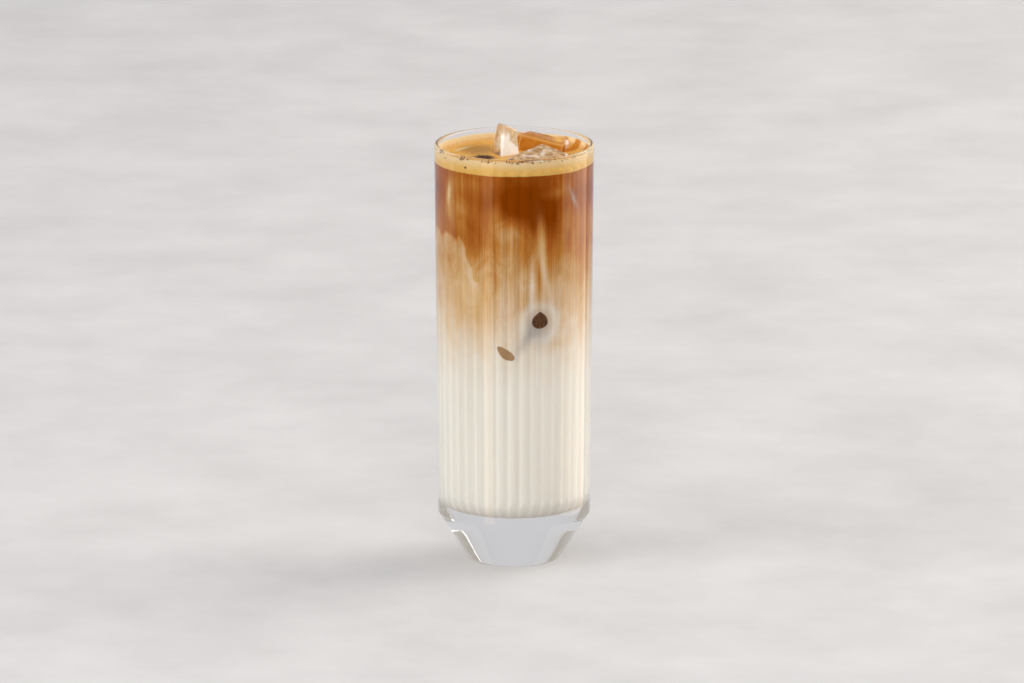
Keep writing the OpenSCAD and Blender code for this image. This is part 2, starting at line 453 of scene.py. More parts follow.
def stretched_noise(tree, along, across, detail=2.0, curl=0.0):
    """Noise on Object coordinates whose grains are along high and across wide, in millimetres. curl bends
    them."""
    where = add_node(tree, "ShaderNodeTexCoord").outputs["Object"]
    scale = (1 / (across * MM), 1 / (across * MM), 1 / (along * MM))
    scaled = add_node(tree, "ShaderNodeMapping", {"Vector": where, "Scale": scale}).outputs["Vector"]
    noise = add_node(tree, "ShaderNodeTexNoise", {"Vector": scaled, "Scale": 1.0, "Detail": detail,
                                                  "Roughness": 0.6, "Distortion": curl})
    return noise.outputs["Fac"]


def signed(tree, noise, strength):
    """Noise round a half, moved to lie round 0 and scaled."""
    level = add_node(tree, "ShaderNodeMath", {0: noise, 1: 0.5}, operation="SUBTRACT").outputs[0]
    return add_node(tree, "ShaderNodeMath", {0: level, 1: strength}, operation="MULTIPLY").outputs[0]


def laid_over(tree, base, *layers):
    """Colours laid over a base colour, one after another. A layer is its amount and its colour: the
    amount is an output, or the name of a number that the piece stores at each vertex."""
    for amount, colour in layers:
        if isinstance(amount, str):
            amount = add_node(tree, "ShaderNodeAttribute", attribute_name=amount).outputs["Fac"]
        base = add_node(tree, "ShaderNodeMix", {0: amount, 6: base, 7: colour}, data_type="RGBA").outputs[2]
    return base


def clear_to_shadows(tree, surface, shade):
    """Ends a material: a surface shows, but shadow rays pass through in a tint, so that light reaches the
    drink."""
    clear = add_node(tree, "ShaderNodeBsdfTransparent", {"Color": shade}).outputs[0]
    shadow = add_node(tree, "ShaderNodeLightPath").outputs["Is Shadow Ray"]
    mix = add_node(tree, "ShaderNodeMixShader", {0: shadow, 1: surface, 2: clear})
    add_node(tree, "ShaderNodeOutputMaterial", {"Surface": mix.outputs[0]})


def glass_material():
    """Pressed soda-lime glass, fire polished: clear and hard, with bright edges. Its index of refraction is
    under the typical 1.5, which keeps the foot clear as far out as on the real glass."""
    material, tree = new_material("pressed soda-lime glass")
    glass = add_node(tree, "ShaderNodeBsdfPrincipled",
                     {"Base Color": settings().glass.colour, "Roughness": 0.0, "IOR": 1.40,
                      "Transmission Weight": 1.0, "Specular IOR Level": 0.05})
    clear_to_shadows(tree, glass.outputs[0], linear("#eceeee"))
    return material


def ice_material(name, kind, gloss, clearness):
    """Wet, melting ice with soft dents: clear, or clouded by foam and coffee that cling to it. Its edges
    have a tone of their own, lighter as painted highlights on clear and stained ice; trapped air and
    painted highlights whiten it, and light glows in it. kind names its colours."""
    s = settings().ice
    dark, light, edge = (getattr(s, f"{kind}_{part}") for part in ("dark", "light", "edge"))
    material, tree = new_material(name)
    dents = stretched_noise(tree, 2.2, 2.2, 3.0)
    bump = add_node(tree, "ShaderNodeBump", {"Height": dents, "Strength": 0.35, "Distance": 0.3 * MM})
    tone = add_node(tree, "ShaderNodeValToRGB", {"Fac": dents}, [(0.38, dark), (0.62, light)]).outputs[0]
    # over the tone: edge tones, lighter as painted highlights on clear and stained ice; light glowing
    # through; and white of trapped air and painted highlights
    tone = laid_over(tree, tone, ("edge", edge), ("glow", s.glow), ("cloud", s.air_and_highlight))
    cloud = add_node(tree, "ShaderNodeAttribute", attribute_name="cloud").outputs["Fac"]
    airless = add_node(tree, "ShaderNodeMath", {0: 1.0, 1: cloud}, operation="SUBTRACT").outputs[0]
    clear = add_node(tree, "ShaderNodeMath", {0: airless, 1: clearness}, operation="MULTIPLY").outputs[0]
    ice = add_node(tree, "ShaderNodeBsdfPrincipled",
                   {"Base Color": tone, "Roughness": 0.08, "IOR": 1.31, "Specular IOR Level": gloss,
                    "Transmission Weight": clear, "Normal": bump.outputs["Normal"]})
    clear_to_shadows(tree, ice.outputs[0], linear("#fbf6ee"))
    return material


def sunk_ice_material():
    """Ice under the surface, pressed against the wall: smooth, and dark with the drink behind it."""
    s = settings().ice
    material, tree = new_material("sunk ice against glass")
    tone = add_node(tree, "ShaderNodeValToRGB", {"Fac": stretched_noise(tree, 1.6, 0.5, 3.0)},
                    [(0.35, s.sunk_dark), (0.7, s.sunk_light)]).outputs[0]
    tone = laid_over(tree, tone, ("cloud", s.sunk_cloud))
    body = add_node(tree, "ShaderNodeBsdfPrincipled",
                    {"Base Color": tone, "Roughness": 0.3, "Specular IOR Level": 0.1})
    add_node(tree, "ShaderNodeOutputMaterial", {"Surface": body.outputs[0]})
    return material


def bubble_material():
    """Bubbles of coffee film: brown and glossy."""
    s = settings().crema
    material, tree = new_material("coffee bubble film")
    tone = add_node(tree, "ShaderNodeValToRGB", {"Fac": stretched_noise(tree, 0.8, 0.8, 1.0)},
                    [(0.3, s.bubble_dark), (0.7, s.bubble_light)]).outputs[0]
    body = add_node(tree, "ShaderNodeBsdfPrincipled",
                    {"Base Color": tone, "Roughness": 0.12, "Specular IOR Level": 0.5})
    add_node(tree, "ShaderNodeOutputMaterial", {"Surface": body.outputs[0]})
    return material


# Wisps and clouds of milk and coffee: how high and wide their grains are in millimetres, their detail, how
# far they curl and how strongly they show. The finest wisps are as coarse as it takes for them to show.
DRINK_GRAINS = (
    (60.0, 0.7, 3.0, 0.0, 0.44),
    (60.0, 2.2, 2.0, 0.0, 0.22),
    (12.0, 8.0, 5.0, 1.2, 0.42),
)


def drink_material():
    """Milk and espresso in layers: a milky liquid whose colour runs from cream white to espresso brown,
    drawn out in upright wisps where the coffee sinks. The flutes' hollows show in it, slightly darker, as
    painted shade."""
    s = settings().drink
    material, tree = new_material("layered milk and espresso")
    share = add_node(tree, "ShaderNodeAttribute", attribute_name="coffee_share").outputs["Fac"]
    streaks = add_node(tree, "ShaderNodeAttribute", attribute_name="streaks").outputs["Fac"]
    wisps = 0.0
    for along, across, detail, curl, strength in DRINK_GRAINS:
        grain = signed(tree, stretched_noise(tree, along, across, detail, curl), strength)
        wisps = add_node(tree, "ShaderNodeMath", {0: wisps, 1: grain}, operation="ADD").outputs[0]
    wisps = add_node(tree, "ShaderNodeMath", {0: wisps, 1: streaks}, operation="MULTIPLY").outputs[0]
    share = add_node(tree, "ShaderNodeMath", {0: share, 1: wisps}, operation="ADD").outputs[0]
    colour = add_node(tree, "ShaderNodeValToRGB", {"Fac": share},
                      [(0.0, s.milk), (0.18, s.cream), (0.35, s.latte), (0.52, s.tan), (0.68, s.caramel),
                       (0.84, s.brown), (1.0, s.coffee)]).outputs[0]
    colour = laid_over(tree, colour, ("gold", s.gold), ("haze", s.haze), ("hollow", s.hollow))
    body = add_node(tree, "ShaderNodeBsdfPrincipled",
                    {"Base Color": colour, "Roughness": 0.5, "Specular IOR Level": 0.0,
                     "Subsurface Weight": 0.15, "Subsurface Radius": (1.0, 0.8, 0.55),
                     "Subsurface Scale": 0.8 * MM})
    add_node(tree, "ShaderNodeOutputMaterial", {"Surface": body.outputs[0]})
    return material


def crema_material():
    """Crema: a fine coffee foam, pale where it is dry and in a painted highlight at the back left, golden
    where it is wet, with bubbles of half a millimetre and a soft gloss. Coffee shows through where it is
    thin, and its colour lies faintly over the left of the surface as painted shade."""
    s = settings().crema
    material, tree = new_material("coffee crema foam")
    gold, deep, bare = (add_node(tree, "ShaderNodeAttribute", attribute_name=name).outputs["Fac"]
                        for name in ("gold", "deep", "bare"))
    where = add_node(tree, "ShaderNodeTexCoord").outputs["Object"]
    cells = add_node(tree, "ShaderNodeTexVoronoi",
                     {"Vector": where, "Scale": 1 / (0.5 * MM), "Randomness": 1.0}).outputs["Distance"]
    clouds = stretched_noise(tree, 1.8, 1.8, 4.0)
    gold = add_node(tree, "ShaderNodeMath", {0: gold, 1: signed(tree, clouds, 0.6)}, operation="ADD")
    uneven = add_node(tree, "ShaderNodeMath", {0: 1.0, 1: signed(tree, clouds, 1.2)}, operation="ADD")
    deep = add_node(tree, "ShaderNodeMath", {0: deep, 1: uneven.outputs[0]}, operation="MULTIPLY")
    bare = add_node(tree, "ShaderNodeMath", {0: bare, 1: signed(tree, clouds, 0.08)}, operation="ADD")
    foam = add_node(tree, "ShaderNodeValToRGB", {"Fac": gold.outputs[0]}, [(0.0, s.pale), (1.0, s.gold)])
    colour = laid_over(tree, foam.outputs[0], (deep.outputs[0], s.deep), (bare.outputs[0], s.bare))
    bump = add_node(tree, "ShaderNodeBump", {"Height": cells, "Strength": 0.3, "Distance": 0.12 * MM})
    body = add_node(tree, "ShaderNodeBsdfPrincipled",
                    {"Base Color": colour, "Normal": bump.outputs["Normal"], "Roughness": 0.35,
                     "Specular IOR Level": 0.03, "Subsurface Weight": 0.2,
                     "Subsurface Radius": (1.0, 0.7, 0.4), "Subsurface Scale": 0.8 * MM})
    add_node(tree, "ShaderNodeOutputMaterial", {"Surface": body.outputs[0]})
    return material


def floor_material():
    """Pale plaster, smoothed and matt, with the faintest clouds."""
    s = settings().stage
    material, tree = new_material("smoothed pale plaster")
    tone = add_node(tree, "ShaderNodeValToRGB", {"Fac": stretched_noise(tree, 60.0, 60.0, 4.0)},
                    [(0.3, s.floor_low), (0.7, s.floor)]).outputs[0]
    body = add_node(tree, "ShaderNodeBsdfPrincipled",
                    {"Base Color": tone, "Roughness": 0.75, "Specular IOR Level": 0.0})
    add_node(tree, "ShaderNodeOutputMaterial", {"Surface": body.outputs[0]})
    return material


# -------------------------------------------------------------------- pieces


def finish_piece(piece, material, slot, *nodes):
    """Gives a piece its material and its body, and hides the CAD nodes that it stands for.
    slot is not used.
    """
    piece.data.materials.clear()
    piece.data.materials.append(material)
    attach(piece, "root")
    if nodes:
        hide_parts(*nodes)
    return piece


def glass_outside():
    """Rows (radius, height) up the outside of the glass: under the foot, round its edge, up the cone and
    the slanted wall, and half round the lip."""
    s = settings().glass
    mouth_z = RIM_Z - s.rim_wall / 2
    ring_r = s.foot_r - s.foot_ring
    outline = [np.array(corner, float) for corner in
               [(AXIS_R, s.punt), (ring_r - s.punt_ramp, s.punt), (ring_r, 0), (s.foot_r, 0),
                (s.shoulder_r, s.foot_h), (RIM_R, mouth_z)]]
    radii = [s.punt_edge, s.punt_edge, s.foot_edge, s.shoulder_edge]
    wall = filled_path(arc_path(outline, radii, steps=8), longest=4.0)
    turn = np.linspace(0, np.pi, 14)[1:-1]
    lip = np.stack([RIM_R - s.rim_wall / 2 * (1 - np.cos(turn)),
                    mouth_z + s.rim_wall / 2 * np.sin(turn)], axis=-1)
    return np.vstack([wall, lip])


def glass_inside():
    """Rows (radius, height) down the inside of the glass, closest together where the flutes end."""
    s = settings().glass
    mouth_z = RIM_Z - s.rim_wall / 2
    end_z = RIM_Z - s.plain_band - s.flute_r - 1
    rows = cavity_rows(mouth_z, reach=0.0, spacing=3.0)
    slope = (rows[-1] - rows[-2]) / (rows[-1] - rows[-2])[1]
    close = rows[-1] + slope * (np.linspace(end_z, mouth_z, 22)[:, None] - rows[-1, 1])
    return np.vstack([rows[rows[:, 1] < end_z], close])[::-1]


class LATTE_OT_glass(bpy.types.Operator):
    """Build the glass: smooth outside, fluted inside, on a tapered foot"""

    bl_idname = "latte.glass"
    bl_label = "Glass"

    def execute(self, context):
        theta = angles(settings().glass.flutes * COLUMNS_PER_FLUTE)
        plain, inside = glass_outside(), glass_inside()
        radius = np.vstack([plain[:, :1] + 0 * theta[None, :], fluted_wall(theta, inside, reach=0.0)])
        height = np.vstack([plain[:, 1:], inside[:, 1:]]) + 0 * theta[None, :]
        piece = turned_piece("fluted_glass", theta, radius, height)
        finish_piece(piece, glass_material(), "clear_glass", "glass")
        return {"FINISHED"}


def crema_underside(theta):
    """Height of the line where crema meets coffee at the wall: level, with slow uneven waves."""
    ring = around(theta, WAVE_RING_R, 0.0)
    return CREMA_Z + 0.12 * waves(ring, 22.0, 5, 3)


def plume(theta, z, middle, at_z, half_width, half_height, slant=0.0):
    """A soft upright wisp, 1 in its middle and 0 outside: a bell curve in angle and in height. Angles are
    in degrees, and slant moves its middle by so many degrees for each millimetre of height."""
    across = (np.degrees((theta + np.pi) % (2 * np.pi) - np.pi) - middle - slant * (z - at_z)) / half_width
    up = (z - at_z) / half_height
    return np.exp(-0.5 * (across ** 2 + up ** 2))


# Wisps of milk (less coffee) and of coffee (more) in the drink at the wall, and one mark of painted light:
# angle from the front in degrees, height in millimetres, half width, half height, slant, change of the
# coffee's share.
WISPS = (
    (-57, 145, 1.8, 2.2, 0.3, -0.40),
    (-57, 141, 2.6, 4.5, 0.0, -0.20),
    (-48, 138, 6.0, 10.0, 0.0, -0.10),
    (-66, 137, 6.0, 16.0, 0.0, -0.06),
    (-52, 130, 15.0, 4.5, 0.0, 0.15),
    (-66, 118, 6.0, 8.0, 0.0, 0.08),
    (-35, 116, 5.0, 7.0, 0.0, -0.10),
    (-60, 111, 14.0, 8.0, 0.0, 0.10),
    # painted light: less coffee at the top left, lighter as if light came through the coffee's thin edge
    (-38, 147, 16.0, 8.0, 0.0, -0.21),
    (-33, 124, 5.0, 8.0, 0.0, 0.10),
    (38, 147, 7.0, 6.0, 0.0, -0.15),
    (62, 146, 14.0, 12.0, 0.0, -0.10),
    (-20, 135, 3.5, 7.0, 0.0, 0.06),
    (-12, 132, 5.0, 5.0, 0.0, -0.10),
    (-2, 131, 7.0, 3.0, 0.0, -0.10),
    (3, 142, 14.0, 6.0, 0.0, 0.14),
    (-14, 140, 3.0, 5.0, 0.0, -0.14),
    (16, 135, 2.2, 5.0, 0.0, 0.22),
    (29, 134, 5.0, 6.0, 0.0, 0.20),
    (31, 146, 9.0, 1.6, 2.0, -0.16),
    (21, 127, 2.2, 6.5, -0.15, -0.30),
    (25, 113, 2.0, 8.0, -0.5, -0.20),
    (13.5, 111, 2.2, 6.0, 0.0, -0.20),
    (19, 112, 1.6, 6.0, 0.0, 0.16),
    (40, 126, 6.0, 8.0, 0.0, 0.06),
    (60, 124, 8.0, 14.0, 0.0, 0.10),
    (-44, 101, 5.0, 7.0, 0.0, 0.05),
    (-24, 104, 6.0, 8.0, 0.0, 0.05),
    (33, 88, 9.0, 1.6, 0.35, 0.10),
)

# Places where light comes golden through the drink, in the same form.
GLOWS = (
    (-57, 145, 1.7, 2.4, 0.3, 0.40),
    (-57, 140, 2.6, 4.5, 0.0, 0.22),
    (21, 127, 2.0, 6.0, -0.15, 0.35),
    (-40, 107, 6.0, 7.0, 0.0, 0.26),
    (-27, 103, 6.0, 9.0, 0.0, 0.26),
    (-58, 96, 9.0, 10.0, 0.0, 0.16),
)

# Thin grey milk round the sunk ice, and a grey streak high on the right, in the same form.
HAZES = (
    (19, 96.0, 7.0, 4.6, 0.0, 0.95),
    (9, 90.5, 3.5, 4.5, 1.2, 0.55),
    (50, 143, 1.4, 2.6, -1.0, 0.70),
)


def drawn(theta, z, marks):
    """The sum of plumes, each times its own amount."""
    return sum(mark[-1] * plume(theta, z, *mark[:-1]) for mark in marks)


def left_cloud(points, degrees):
    """How much coffee the cloud of milk on the left takes away: most just under its top, which is crisp and
    falls away to the right, and less further down."""
    z = points[:, 2]
    top = COFFEE_Z - 1.0 - 16 * smooth_step(-46, -28, degrees) + 1.6 * waves(points, 7.0, 14, 3)
    cloud = smooth_step(top + 0.8, top - 0.8, z) * smooth_step(-24, -30, degrees)
    cloud *= smooth_step(-110, -80, degrees) * smooth_step(100, 112, z)
    return (0.10 + 0.12 * smooth_step(top - 10, top - 3, z)) * cloud


def coffee_share(points):
    """How much coffee is in the drink at each point, from 0 in the milk to 1 in the espresso. Two smooth
    rises with height are bent by waves, which are small in front, and the left cloud, the wisps and the
    changes below are added."""
    theta = np.arctan2(points[:, 0], -points[:, 1])
    degrees = np.degrees(theta)
    z = points[:, 2]
    upright = around(theta, RIM_R, 0.0)
    upright[:, 2] = 0.05 * z
    wild = 1.2 + 5.0 * smooth_step(70, 110, np.abs(degrees))
    bent = z + wild * waves(upright, 18.0, 11, 4) + 0.5 * wild * waves(points, 30.0, 12, 3)
    share = 0.36 * smooth_step(BLEND_Z + 43, COFFEE_Z + 17, bent)
    share += 0.64 * smooth_step(BLEND_Z - 20, COFFEE_Z + 5, bent)
    share -= left_cloud(points, degrees)
    # painted light: a little less coffee just under the crema makes it lighter there, as light from above
    # would, and a little more coffee where it has begun to sink
    share -= 0.08 * smooth_step(CREMA_Z - 9, CREMA_Z - 3, z)
    share += 0.08 * np.exp(-((z - 127.0) / 7.0) ** 2)
    share += drawn(theta, z, WISPS)
    # a ring of cleaner milk round the larger corner of sunk ice
    from_ice = np.hypot((theta - math.radians(20)) * RIM_R, 1.1 * (z - 97))
    share -= 0.16 * np.exp(-((from_ice - 7.0) / 1.8) ** 2)
    # the wells round the standing ice hold only espresso
    in_well = (np.hypot(points[:, 0], points[:, 1]) < 26.0) & (z > COFFEE_Z)
    return np.where(in_well, 0.9, np.clip(share, 0.0, 1.05))


def streak_share(share):
    """How much the upright wisps show: most where milk and coffee mix, little in either alone."""
    return 0.24 + 0.76 * np.clip(4 * share * (1 - share), 0, 1)


def hollow_share(theta, share):
    """How much painted shade darkens the hollows of the flutes against the narrow ridges between them, most
    in milk: a ridge is a bell curve, three quarters of a millimetre to each side, half way between two
    flutes."""
    pitch = 2 * np.pi / settings().glass.flutes
    off = (theta - np.pi / 2) % pitch - pitch / 2
    ridge = np.exp(-(off * RIM_R / 0.75) ** 2)
    return (0.11 - 0.09 * np.clip(share, 0, 1)) * (1 - ridge)


class LATTE_OT_drink(bpy.types.Operator):
    """Build the milk, the blend and the coffee as one body that touches the wall all over"""

    bl_idname = "latte.drink"
    bl_label = "Drink"

    def execute(self, context):
        reach = settings().drink.reach
        theta = angles(settings().glass.flutes * COLUMNS_PER_FLUTE)
        rows = cavity_rows(CREMA_Z, reach, spacing=1.1)
        radius = fluted_wall(theta, rows, reach)
        height = rows[:, 1:] + 0 * theta[None, :]
        level = crema_underside(theta)
        height = height + (level[None, :] - CREMA_Z) * smooth_step(CREMA_Z - 6, CREMA_Z, height)
        lid = np.linspace(1, 0, 10)[1:-1, None] * radius[-1][None, :]
        radius = np.vstack([radius, lid])
        height = np.vstack([height, np.repeat(height[-1:], len(lid), axis=0)])
        piece = turned_piece("latte_drink", theta, radius, height)
        cut(piece, ice_cores())
        points = vertices(piece)
        theta = np.arctan2(points[:, 0], -points[:, 1])
        share = coffee_share(points)
        store(piece, "coffee_share", share)
        store(piece, "streaks", streak_share(share))
        store(piece, "gold", np.clip(drawn(theta, points[:, 2], GLOWS), 0, 0.8))
        store(piece, "haze", np.clip(drawn(theta, points[:, 2], HAZES), 0, 0.95))
        # painted shade in the hollows of the flutes
        store(piece, "hollow", hollow_share(theta, share))
        finish_piece(piece, drink_material(), "milky_coffee", "milk", "blend", "coffee")
        return {"FINISHED"}


def ring_top(theta):
    """Height of the clinging foam's upper edge: higher in front than at the back, and uneven."""
    s = settings().crema
    ring = around(theta, WAVE_RING_R, 0.0)
    return RIM_Z - s.ring_drop + s.ring_tilt * np.cos(theta) + 0.13 * waves(ring, 14.0, 21, 4)


def painted_highlight_crescent(points):
    """1 in a narrow crescent at the back left, a painted highlight where light catches the wet foam, and 0
    elsewhere.
    """
    middle_r, half_width = 24.6, 0.6
    middle_turn, half_turn = -127, 11
    across = (np.hypot(points[:, 0], points[:, 1]) - middle_r) / half_width
    along = (np.degrees(np.arctan2(points[:, 0], -points[:, 1])) - middle_turn) / half_turn
    return np.exp(-across ** 2 - along ** 4)


class LATTE_OT_crema(bpy.types.Operator):
    """Build the crema: a foam film over the coffee that climbs the wall in a ring"""

    bl_idname = "latte.crema"
    bl_label = "Crema"

    def execute(self, context):
        theta = angles(settings().glass.flutes * COLUMNS_PER_FLUTE)
        piece = turned_piece("coffee_crema", theta, *self.rows(theta))
        cut(piece, ice_cores())
        where = vertices(piece)
        store(piece, "gold", self.gold(where))
        store(piece, "deep", self.deep(where))
        store(piece, "bare", self.bare(where))
        finish_piece(piece, crema_material(), "crema", "crema")
        return {"FINISHED"}

    @staticmethod
    def rows(theta):
        """Radii and heights of the foam's rows: out along the flat underside, up the wall, down a quarter
        of an ellipse to the film, and in to the middle. Waves and small bumps lie on the open side."""
        s, reach = settings().crema, settings().drink.reach
        under, top = crema_underside(theta), ring_top(theta)
        level, edge = CREMA_Z + s.film, 0.25
        side_z = under + (top - under) * np.linspace(0, 1, 18)[:, None]
        side_r = inner_radius(theta[None, :], side_z) + reach
        base_r = np.linspace(0, 1, 5)[1:-1, None] * side_r[:1]
        base_z = np.repeat(side_z[:1], len(base_r), axis=0)
        turn = np.linspace(0, np.pi / 2, 22)[1:, None]
        climb_r = side_r[-1:] - reach - edge - s.ring_reach * (1 - np.cos(turn))
        climb_z = level + (top - level) * (1 - np.sin(turn))
        film_r = np.linspace(1, 0, 70)[1:-1, None] * climb_r[-1:]
        radius = np.vstack([base_r, side_r, climb_r, film_r])
        height = np.vstack([base_z, side_z, climb_z, level + 0 * film_r])
        points = around(theta[None, :], radius, height)
        swell = 0.22 * waves(points, 17.0, 31, 2) + s.relief * waves(points, 1.9, 32, 3)
        swell[:len(base_r) + len(side_r)] = 0
        return radius, height + swell

    @staticmethod
    def gold(points):
        """Foam is pale at the ring's upper edge, golden near the coffee, and pale again in a painted
        highlight, a crescent at the back left where the ring meets the surface."""
        theta = np.arctan2(points[:, 0], -points[:, 1])
        rise = (points[:, 2] - CREMA_Z) / (ring_top(theta) - CREMA_Z)
        return 1 - 0.8 * smooth_step(0.25, 0.9, rise) - 1.3 * painted_highlight_crescent(points)

    @staticmethod
    def deep(points):
        """Foam is deeper in colour on the surface, and in streaks that ran down the foam behind the ice, on
        the right and beside the back piece."""
        x, y, z = points.T
        theta, far = np.arctan2(x, -y), np.hypot(x, y)
        wall = inner_radius(theta, z)
        on_top = smooth_step(wall - 0.3, wall - 1.0, far) * smooth_step(CREMA_Z + 0.5, CREMA_Z + 0.8, z)
        streaks = smooth_step(-0.3, 0.4, waves(around(theta, RIM_R, 0.04 * z), 8.0, 41, 3))
        behind = smooth_step(85, 100, np.degrees(theta)) * smooth_step(150, 130, np.degrees(theta))
        inside = smooth_step(wall + 0.05, wall - 0.15, far) * smooth_step(17.0, 22.0, far)
        beside = np.exp(-(((x - 4.0) / 5.0) ** 2 + ((y - 21.0) / 8.0) ** 2) ** 2)
        # the painted highlight crescent is kept free of the deep tone
        on_top *= 1 - painted_highlight_crescent(points)
        return np.clip(0.42 * on_top + (0.8 * streaks * behind + 1.1 * beside) * inside, 0, 1.1)

    @staticmethod
    def bare(points):
        """Coffee shows darkly through a hole in the foam beside the standing ice; over the left of the
        surface its colour lies faintly as painted shade.
        """
        x, y = points[:, 0], points[:, 1]
        hole = np.exp(-(((x - HOLE_X) / HOLE_R) ** 2 + ((y - HOLE_Y) / HOLE_R) ** 2) ** 2)
        # painted shade: a faint darkening over the left of the surface
        patch = np.exp(-(((x + 13.5) / 6.8) ** 2 + ((y - 12.5) / 8.5) ** 2) ** 2)
        on_top = smooth_step(CREMA_Z + 1.9, CREMA_Z + 1.5, points[:, 2])
        return np.clip((1.1 * hole + 0.5 * patch) * on_top, 0, 1)


# The standing pieces of ice: half sizes in millimetres, how they taper and slant, turns about X, Y and Z in
# degrees, and the seed of their dents.
ICE = {
    "ice_tall": {"half": (5.5, 5.5, 11.0), "taper": 0.45, "slope": 0.30, "turn": (-6, 8, 28), "seed": 3},
    "ice_front": {"half": (12.25, 7.0, 10.0), "taper": 0.0, "slope": 0.0, "turn": (13, -4, 55), "seed": 8},
    "ice_back": {"half": (9.5, 5.25, 7.5), "taper": 0.0, "slope": 0.0, "turn": (-2, 9, -19), "seed": 13},
}

# Their material's name, the kind whose colours it takes, its gloss and how clear it is.
ICE_LOOKS = {
    "ice_tall": ("clear melting ice", "clear", 0.5, 0.75),
    "ice_front": ("ice under a skin of foam", "foamy", 0.25, 0.2),
    "ice_back": ("ice stained by coffee", "stained", 0.06, 0.1),
}


def ice_shape(node):
    """Points and faces of one block of ice, in the place of its CAD node."""
    s, block = settings().ice, ICE[node]
    points, faces = soft_block(np.array(block["half"]), s.edge, block["taper"], block["slope"],
                               block["turn"], block["seed"], s.wobble)
    return fitted(points, node), faces


def vertex_normals(piece):
    """The direction that a piece's surface faces at each vertex."""
    normals = np.empty(len(piece.data.vertices) * 3, np.float32)
    piece.data.vertices.foreach_get("normal", normals)
    return normals.reshape(-1, 3)


def ice_cores():
    """The blocks of ice, shrunk by the contact depth, to cut from the drink and the crema."""
    cores = []
    for node in ICE:
        name = node + "_core"
        if name not in bpy.data.objects:
            points, faces = ice_shape(node)
            core = merge_seams(link_mesh(name, points, faces.tolist()))
            inside = vertices(core) - settings().ice.gap * vertex_normals(core)
            core.data.vertices.foreach_set("co", (inside * MM).astype(np.float32).ravel())
            core.data.update()
            core.hide_render = True
        cores.append(bpy.data.objects[name])
    return cores


def ice_air_and_highlights(node, points):
    """Where ice is white: faint cracks of trapped air in all pieces and specks on the back piece, and
    painted highlights on the lower right of the standing piece, in patches on the front piece and at the
    right ends of both."""
    low, high = points.min(0), points.max(0)
    place = (points - low) / (high - low)
    cloud = 0.12 * smooth_step(0.06, 0.0, np.abs(waves(points, 9.0, 51, 3)))
    if node == "ice_tall":
        # painted highlight: white on the lower right of the standing piece
        right = 0.66 + 1.8 * np.maximum(0.74 - place[:, 2], 0)
        white = smooth_step(0.38, 0.46, place[:, 0]) * smooth_step(right + 0.08, right, place[:, 0])
        cloud += 0.85 * white * smooth_step(0.92, 0.80, place[:, 2])
    if node == "ice_back":
        near = np.exp(-(((points[:, 0] - 13.5) / 3.6) ** 2 + ((points[:, 1] - 16.0) / 4.0) ** 2))
        cloud += 0.5 * near * smooth_step(0.62, 0.75, waves(points, 1.6, 53, 1))
        # painted highlight at the back piece's right end
        cloud += 0.8 * smooth_step(0.90, 0.97, place[:, 0])
    if node == "ice_front":
        # painted highlights: patches on the front piece and at its right end
        cloud += 0.35 * smooth_step(0.35, 0.60, waves(points, 5.0, 54, 2))
        cloud += 0.8 * smooth_step(0.93, 0.98, place[:, 0])
    return np.clip(cloud, 0, 1)


def ice_edge(node, piece):
    """How near a vertex is to an edge of its block: 0 on the faces, where its normal lies along one of the
    block's own axes, and 1 where it lies well between two of them."""
    turn = Euler([math.radians(a) for a in ICE[node]["turn"]])
    own = vertex_normals(piece) @ np.array(turn.to_matrix())
    return smooth_step(0.05, 0.22, 1 - np.abs(own).max(axis=1))


def ice_glow(node, points):
    """Where light comes yellow through the back block, near its right end."""
    if node != "ice_back":
        return np.zeros(len(points))
    return np.exp(-(((points[:, 0] - 16.8) / 2.0) ** 2 + ((points[:, 1] - 14.5) / 3.5) ** 2))


class LATTE_OT_ice(bpy.types.Operator):
    """Build the blocks of ice that stand out of the drink"""

    bl_idname = "latte.ice"
    bl_label = "Ice"

    def execute(self, context):
        for node in ICE:
            points, faces = ice_shape(node)
            piece = merge_seams(link_mesh(node + "_clear", points, faces.tolist()))
            store(piece, "cloud", ice_air_and_highlights(node, vertices(piece)))
            # edge tone: lighter as painted highlights on clear and stained ice, darker on foamy ice
            store(piece, "edge", ice_edge(node, piece))
            store(piece, "glow", ice_glow(node, vertices(piece)))
            finish_piece(piece, ice_material(*ICE_LOOKS[node]), "ice", node)
        for core in ice_cores():
            bpy.data.objects.remove(core)
        return {"FINISHED"}


def wall_lens(name, middle, at_z, outline, proud, deep):
    """A closed lens that lies against the wall: outline gives the distance from its middle, in
    millimetres, for each direction, and its face stands out of the drink by a little and bulges by proud
    (1 - u^2), u being 0 in its middle and 1 at its rim. Its back lies deep under the drink's surface."""
    little, columns = 0.02, 48
    turn = angles(columns)
    reach = settings().drink.reach
    u = np.linspace(0, 1, 9)[1:, None]
    theta = math.radians(middle) + u * outline(turn) * np.cos(turn) / (RIM_R - settings().glass.low_wall)
    z = at_z + u * outline(turn) * np.sin(turn)
    wall = inner_radius(theta, z) + reach
    front = around(theta, wall + proud * (1 - u ** 2) + little, z)
    back = around(theta, wall - deep, z)
    rows = np.concatenate([front, back[::-1]]).reshape(-1, 3)
    centre = np.array([math.radians(middle)])
    centre_wall = inner_radius(centre, np.array([at_z])) + reach
    ends = np.vstack([around(centre, centre_wall + proud + little, at_z),
                      around(centre, centre_wall - deep, at_z)])
    return merge_seams(link_mesh(name, np.vstack([rows, ends]), ring_faces(2 * len(u), columns)))


